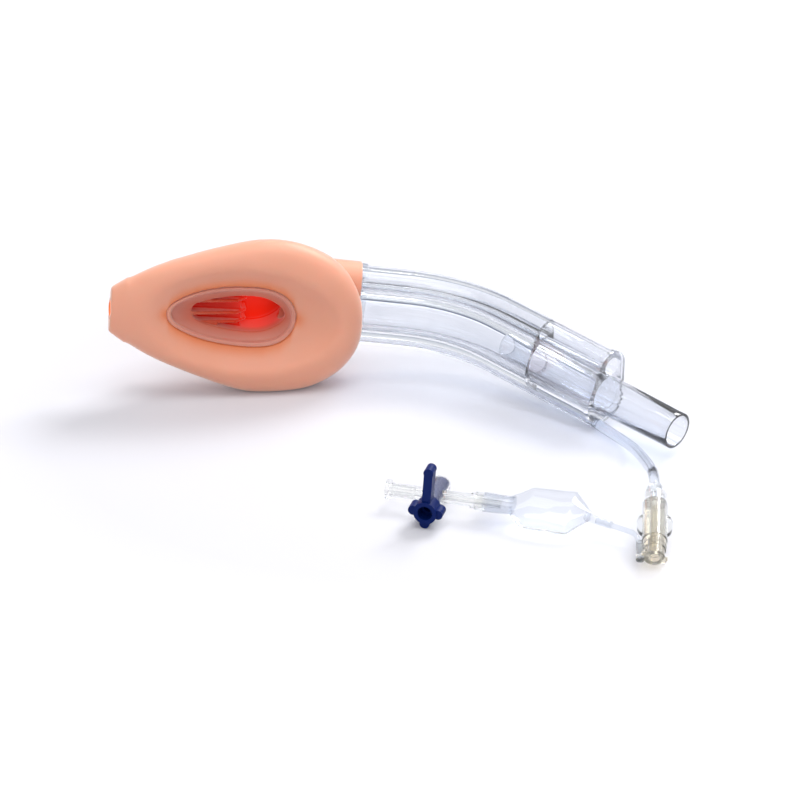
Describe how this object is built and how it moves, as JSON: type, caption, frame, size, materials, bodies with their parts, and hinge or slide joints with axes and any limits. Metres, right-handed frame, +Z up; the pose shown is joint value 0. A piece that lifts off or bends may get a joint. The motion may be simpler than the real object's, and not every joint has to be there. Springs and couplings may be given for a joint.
{
  "type": "laryngeal mask airway",
  "caption": "Supraglottic airway with an inflatable mask, a bent two-lumen tube, a 15 mm connector, a valve hub on its inflation line and a pilot balloon with a stopcock.",
  "frame": {"origin": "on the table under the middle of the mask and tube", "axes": "+X from the mask to the connector end, +Y towards the back of the mask, +Z up"},
  "size_m": [0.2336, 0.1812, 0.0641],
  "materials": {
    "mask_silicone": "matte peach silicone",
    "drain_silicone": "matte orange silicone",
    "clear_tube": "clear soft plastic with a bluish tint",
    "clear_line": "clear soft plastic",
    "clear_hard": "clear hard plastic",
    "clear_film": "clear soft film",
    "cream_plastic": "milky cream, slightly see-through",
    "ring_plastic": "clear",
    "blue_plastic": "very dark blue, glossy"
  },
  "bodies": {
    "mask_airway": {"cuff": "mask_silicone", "bowl": "mask_silicone", "drain_tube": "drain_silicone", "airway_tube": "clear_tube", "socket_seal": "clear_tube", "bonded_line": "clear_line", "end_block": "clear_hard", "airway_connector": "clear_hard", "inflation_line": "clear_line", "hub_cap": "clear_hard", "hub_shell": "clear_hard", "hub_core": "cream_plastic", "pilot_line": "clear_line", "pilot_balloon": "clear_film", "neck_ring": "ring_plastic", "stopcock_body": "clear_hard"},
    "handle": {"stopcock_handle": "blue_plastic"}
  },
  "joints": [
    {"name": "stopcock_turn", "type": "hinge", "parent": "mask_airway", "child": "handle", "pos_m": [0.01552, -0.08812, 0.007], "axis": [-0.27, -0.9629, 0], "range_deg": [-90, 90]}
  ]
}
